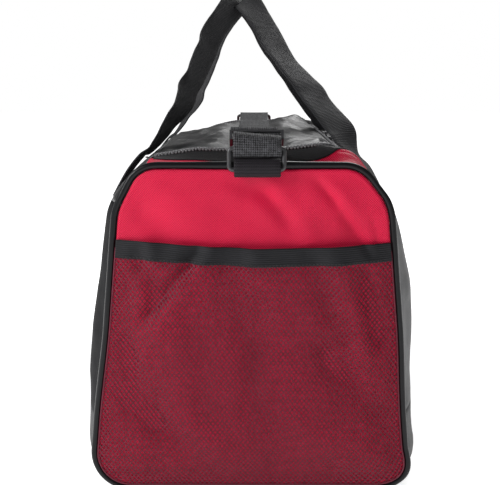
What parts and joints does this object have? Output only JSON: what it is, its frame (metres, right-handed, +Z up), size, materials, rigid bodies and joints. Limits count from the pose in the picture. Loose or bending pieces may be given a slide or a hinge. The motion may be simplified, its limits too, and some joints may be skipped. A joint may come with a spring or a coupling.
{
  "type": "hockey equipment bag",
  "caption": "Long soft duffel for ice hockey gear, with a zipped lid, mesh end pockets, webbing carry handles and a shoulder strap.",
  "frame": {"origin": "on the resting face, under the middle of the bag", "axes": "+X across the bag to its zipped side, +Y along its length towards the far end, +Z up"},
  "size_m": [0.3812, 0.794, 0.5646],
  "materials": {
    "red_fabric": "coated woven polyester",
    "grey_fabric": "coated woven polyester, semi-gloss",
    "black_fabric": "coated woven polyester",
    "mesh": "open knitted net",
    "hem_tape": "ribbed elastic tape",
    "piping": "glossy vinyl over cord",
    "zip_tape": "woven tape",
    "zip_coil": "moulded coil",
    "zip_metal": "black enamel",
    "hardware": "black enamel",
    "webbing": "woven webbing",
    "board": "matt sheet"
  },
  "bodies": {
    "bag": {"base_board": "board", "base_panel": "black_fabric", "end_panel_far": "red_fabric", "end_panel_near": "red_fabric", "handle_leg_left_far": "webbing", "handle_leg_left_near": "webbing", "handle_leg_right_far": "webbing", "handle_leg_right_near": "webbing", "mesh_pocket_far": "mesh", "mesh_pocket_hem_far": "hem_tape", "mesh_pocket_hem_near": "hem_tape", "mesh_pocket_near": "mesh", "piping_far": "piping", "piping_near": "piping", "seam_binding_far": "zip_tape", "seam_binding_near": "zip_tape", "shoulder_panel_left": "black_fabric", "shoulder_panel_right": "red_fabric", "side_panel_left": "black_fabric", "side_panel_right": "grey_fabric", "strap_tab_far": "webbing", "strap_tab_near": "webbing", "top_gusset_far": "red_fabric", "top_gusset_near": "red_fabric", "zip_coil_body": "zip_coil", "zip_stop_far": "zip_metal", "zip_stop_near": "zip_metal", "zip_tape_body": "zip_tape"},
    "lid": {"lid_panel": "black_fabric", "zip_tape_lid": "zip_tape", "zip_coil_lid": "zip_coil", "strap_middle": "webbing"},
    "handle_left": {"handle_left": "webbing"},
    "handle_right": {"handle_right": "webbing"},
    "ring_near": {"ring_near": "hardware", "strap_end_near": "webbing", "tri_glide_near": "hardware"},
    "slider_near": {"zip_slider_near": "zip_metal"},
    "pull_near": {"pull_tab_near": "zip_metal"},
    "ring_far": {"ring_far": "hardware", "strap_end_far": "webbing"},
    "slider_far": {"zip_slider_far": "zip_metal"},
    "pull_far": {"pull_tab_far": "zip_metal"}
  },
  "joints": [
    {"name": "lid_open", "type": "hinge", "parent": "bag", "child": "lid", "pos_m": [-0.112, 0, 0.362], "axis": [0, -1, 0], "range_deg": [0, 150]},
    {"name": "handle_left_swing", "type": "hinge", "parent": "bag", "child": "handle_left", "pos_m": [-0.1655, 0, 0.308], "axis": [0, -1, 0], "range_deg": [0, 190]},
    {"name": "handle_right_swing", "type": "hinge", "parent": "bag", "child": "handle_right", "pos_m": [0.1655, 0, 0.308], "axis": [0, 1, 0], "range_deg": [0, 190]},
    {"name": "ring_near_swing", "type": "hinge", "parent": "bag", "child": "ring_near", "pos_m": [0.007, -0.39, 0.357], "axis": [1, 0, 0], "range_deg": [0, 95]},
    {"name": "slider_near_slide", "type": "slide", "parent": "bag", "child": "slider_near", "axis": [0, -1, 0], "range_m": [0, 0.21]},
    {"name": "pull_near_flip", "type": "hinge", "parent": "slider_near", "child": "pull_near", "pos_m": [0.1112, -0.034, 0.3677], "axis": [-1, 0, 0], "range_deg": [0, 170]},
    {"name": "ring_far_swing", "type": "hinge", "parent": "bag", "child": "ring_far", "pos_m": [0.007, 0.39, 0.357], "axis": [-1, 0, 0], "range_deg": [0, 95]},
    {"name": "slider_far_slide", "type": "slide", "parent": "bag", "child": "slider_far", "axis": [0, 1, 0], "range_m": [0, 0.21]},
    {"name": "pull_far_flip", "type": "hinge", "parent": "slider_far", "child": "pull_far", "pos_m": [0.1112, 0.034, 0.3677], "axis": [1, 0, 0], "range_deg": [0, 170]}
  ],
  "couplings": [
    {"joint": "handle_left_swing", "follows": "lid_open", "ratio": 1.26},
    {"joint": "handle_right_swing", "follows": "lid_open", "ratio": 1.26}
  ]
}
